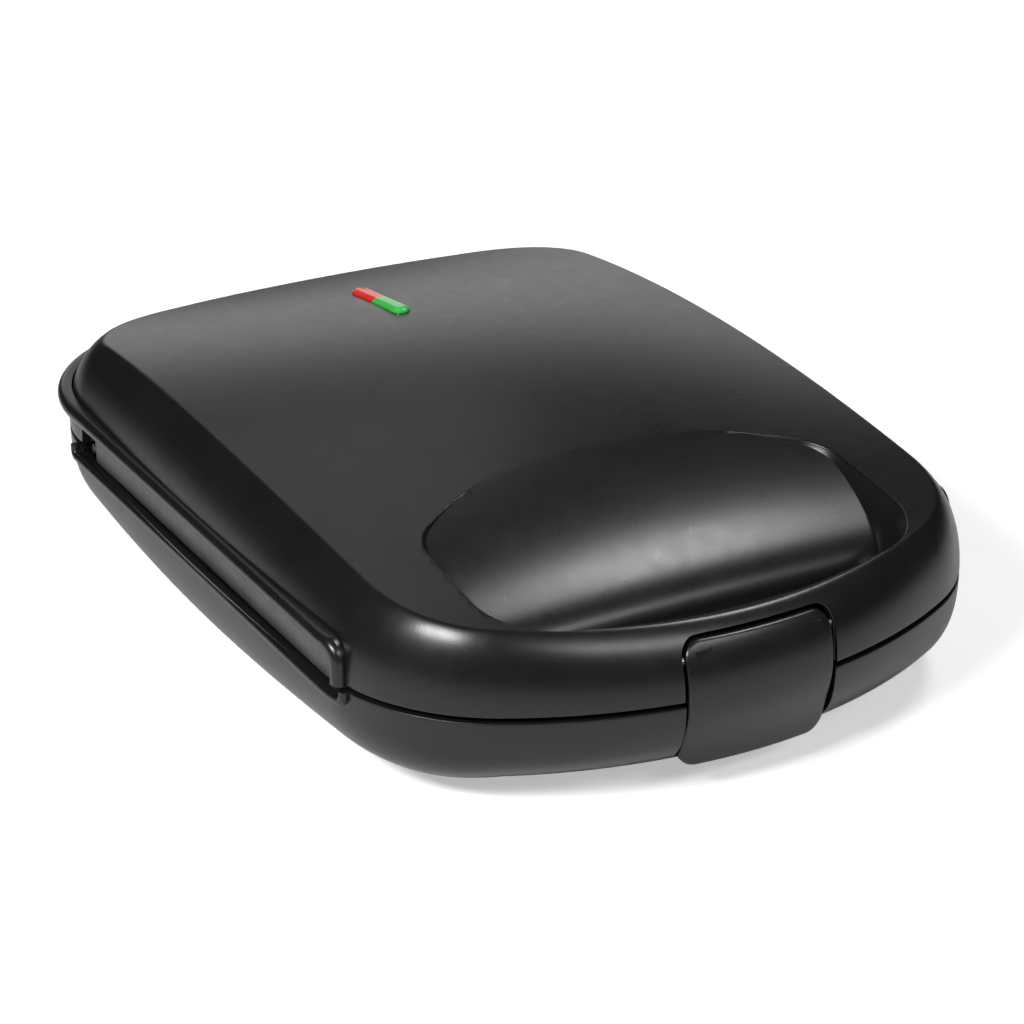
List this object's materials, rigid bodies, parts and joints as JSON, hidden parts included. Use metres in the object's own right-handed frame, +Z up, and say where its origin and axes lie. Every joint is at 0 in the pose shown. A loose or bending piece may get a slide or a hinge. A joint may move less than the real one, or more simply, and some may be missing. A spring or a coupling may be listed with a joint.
{
  "type": "sandwich toaster",
  "caption": "Clamshell sandwich toaster with a rounded black housing, a finger recess and latch at the front, side windows showing the plate rim, and a red and green indicator.",
  "frame": {"origin": "middle of the footprint, on the surface that the feet stand on", "axes": "+X to the right seen from the front, +Y from the latch to the hinge, +Z up"},
  "size_m": [0.237, 0.3624, 0.0812],
  "materials": {
    "black_plastic": "satin moulded plastic with a fine grain",
    "deck_plastic": "matt moulded plastic",
    "latch_plastic": "satin moulded plastic with a fine grain",
    "hinge_plastic": "matt moulded plastic",
    "plate_coating": "die-cast aluminium with a dark non-stick coating",
    "element_steel": "heat-tinted steel tube",
    "spring_steel": "bare spring steel",
    "tray_steel": "bright sheet",
    "thermostat_steel": "plated steel",
    "screw_steel": "zinc-plated",
    "pin_steel": "ground steel",
    "fuse_sleeve": "woven glass sleeve",
    "ceramic": "glazed ceramic",
    "lead_sleeve": "silicone rubber insulation",
    "gland_rubber": "matt rubber",
    "foot_rubber": "matt rubber",
    "lens_red": "clear tinted red",
    "lens_green": "clear tinted green",
    "holder_plastic": "white heat-proof plastic",
    "lamp_glass": "clear glass"
  },
  "bodies": {
    "base": {"base_housing": "black_plastic", "base_front_deck": "deck_plastic", "base_rear_deck": "deck_plastic", "lower_plate": "plate_coating", "lower_element": "element_steel", "lower_element_clips": "spring_steel", "lower_inner_screws": "screw_steel", "lower_reflector": "tray_steel", "thermostat": "thermostat_steel", "thermal_fuse": "fuse_sleeve", "terminal_block": "ceramic", "base_wiring": "lead_sleeve", "base_screws": "screw_steel", "cord_gland": "gland_rubber", "rubber_feet": "foot_rubber", "base_hinge_brackets": "hinge_plastic", "hinge_pins": "pin_steel"},
    "lid": {"lid_housing": "black_plastic", "lid_front_deck": "deck_plastic", "lid_rear_deck": "deck_plastic", "upper_plate": "plate_coating", "upper_element": "element_steel", "upper_element_clips": "spring_steel", "upper_inner_screws": "screw_steel", "upper_reflector": "tray_steel", "lid_wiring": "lead_sleeve", "lid_screws": "screw_steel", "lid_hinge_arms": "hinge_plastic", "indicator_lens_red": "lens_red", "indicator_lens_green": "lens_green", "lamp_holder": "holder_plastic", "lamp_holder_screws": "screw_steel", "pilot_lamps": "lamp_glass", "latch_pin": "pin_steel", "latch_cover": "black_plastic"},
    "latch": {"latch": "latch_plastic"}
  },
  "joints": [
    {"name": "lid_hinge", "type": "hinge", "parent": "base", "child": "lid", "pos_m": [0, 0.1752, 0.0361], "axis": [-1, 0, 0], "range_deg": [0, 100]},
    {"name": "latch_hinge", "type": "hinge", "parent": "lid", "child": "latch", "pos_m": [0, -0.1741, 0.049], "axis": [-1, 0, 0], "range_deg": [0, 40]}
  ]
}
